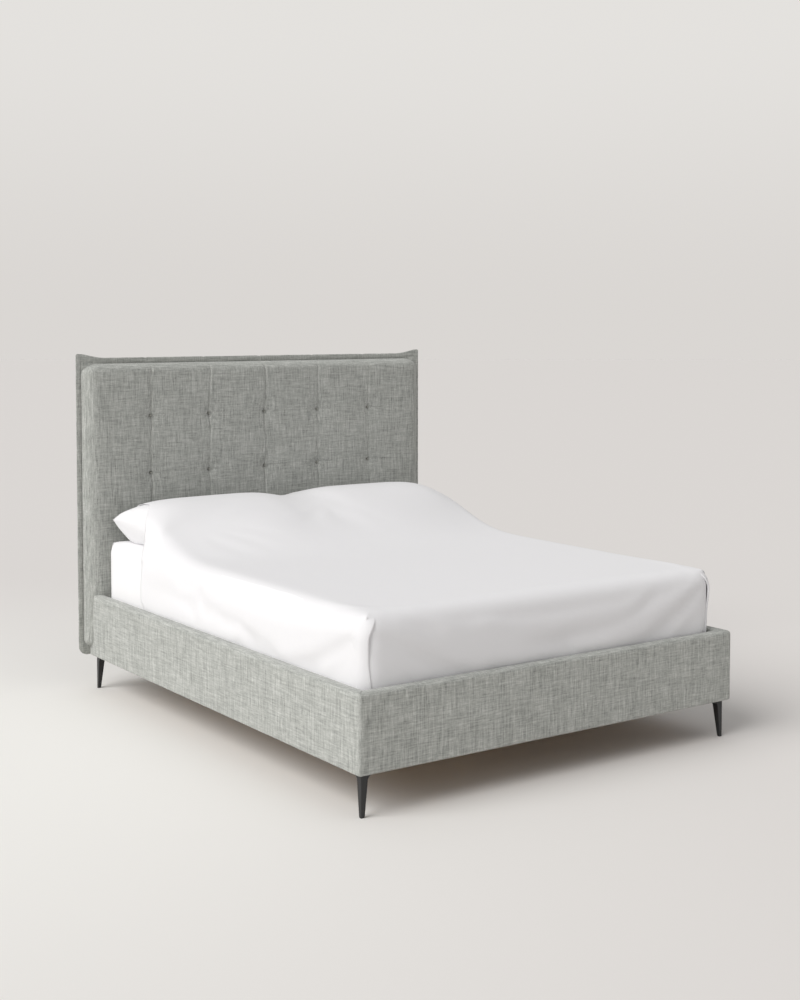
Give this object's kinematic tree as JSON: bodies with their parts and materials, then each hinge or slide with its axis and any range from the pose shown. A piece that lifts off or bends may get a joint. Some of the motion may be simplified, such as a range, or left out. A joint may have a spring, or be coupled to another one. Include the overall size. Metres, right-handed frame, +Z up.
{
  "type": "upholstered bed",
  "caption": "Made-up double bed with a tufted, flanged headboard, padded rails, slatted base, tapered metal legs, mattress, pillows and a tucked coverlet.",
  "frame": {"origin": "on the floor, under the middle of the bed's overall box", "axes": "+Z up, +Y from the foot to the headboard, +X to the right seen from the foot"},
  "size_m": [1.79, 2.147, 1.439],
  "materials": {
    "black_metal": "satin",
    "black_plastic": "matte",
    "foam": "matte",
    "foot_plastic": "matte",
    "grey_metal": "satin",
    "lining_cloth": "matte",
    "pine": "satin",
    "plywood": "matte",
    "slat_wood": "satin",
    "ticking": "matte",
    "upholstery_cloth": "matte",
    "webbing": "matte",
    "white_cotton": "matte",
    "zinc_steel": "satin"
  },
  "bodies": {
    "bed_frame": {"centre_leg_foot": "grey_metal", "centre_leg_head": "grey_metal", "centre_rail": "pine", "centre_rail_saddles": "zinc_steel", "foot_corner_brackets": "zinc_steel", "foot_corner_screws": "zinc_steel", "foot_rail_core": "plywood", "foot_rail_cover": "upholstery_cloth", "headboard_back_cloth": "lining_cloth", "headboard_bolts": "zinc_steel", "headboard_border": "upholstery_cloth", "headboard_bottom_bar": "pine", "headboard_brackets": "zinc_steel", "headboard_cover": "upholstery_cloth", "headboard_flange": "upholstery_cloth", "headboard_foam": "foam", "headboard_middle_bar": "pine", "headboard_panel": "plywood", "headboard_stile_left": "pine", "headboard_stile_right": "pine", "headboard_top_bar": "pine", "ledger_screws": "zinc_steel", "leg_blocks": "pine", "leg_foot_left": "black_metal", "leg_foot_right": "black_metal", "leg_glides": "black_plastic", "leg_head_left": "black_metal", "leg_head_right": "black_metal", "leg_screws": "zinc_steel", "side_rail_core_left": "plywood", "side_rail_core_right": "plywood", "side_rail_cover_left": "upholstery_cloth", "side_rail_cover_right": "upholstery_cloth", "slat_01": "slat_wood", "slat_02": "slat_wood", "slat_03": "slat_wood", "slat_04": "slat_wood", "slat_05": "slat_wood", "slat_06": "slat_wood", "slat_07": "slat_wood", "slat_08": "slat_wood", "slat_09": "slat_wood", "slat_10": "slat_wood", "slat_11": "slat_wood", "slat_12": "slat_wood", "slat_13": "slat_wood", "slat_14": "slat_wood", "slat_ledger_left": "pine", "slat_ledger_right": "pine", "slat_webbing": "webbing", "tuft_ties": "webbing", "tuft_washers": "zinc_steel"},
    "mattress_set": {"mattress": "ticking", "fitted_sheet": "white_cotton", "pillow_left": "white_cotton", "pillow_right": "white_cotton"},
    "coverlet_body": {"coverlet": "white_cotton"},
    "foot_levelling_body": {"levelling_foot_foot": "foot_plastic"},
    "head_levelling_body": {"levelling_foot_head": "foot_plastic"}
  },
  "joints": [
    {"name": "mattress_lift", "type": "slide", "parent": "bed_frame", "child": "mattress_set", "axis": [0, 0, 1], "range_m": [0, 0.4]},
    {"name": "coverlet_lift", "type": "slide", "parent": "mattress_set", "child": "coverlet_body", "axis": [0, 0, 1], "range_m": [0, 0.45]},
    {"name": "foot_levelling", "type": "slide", "parent": "bed_frame", "child": "foot_levelling_body", "axis": [0, 0, 1], "range_m": [-0.006, 0.014]},
    {"name": "head_levelling", "type": "slide", "parent": "bed_frame", "child": "head_levelling_body", "axis": [0, 0, 1], "range_m": [-0.006, 0.014]}
  ]
}
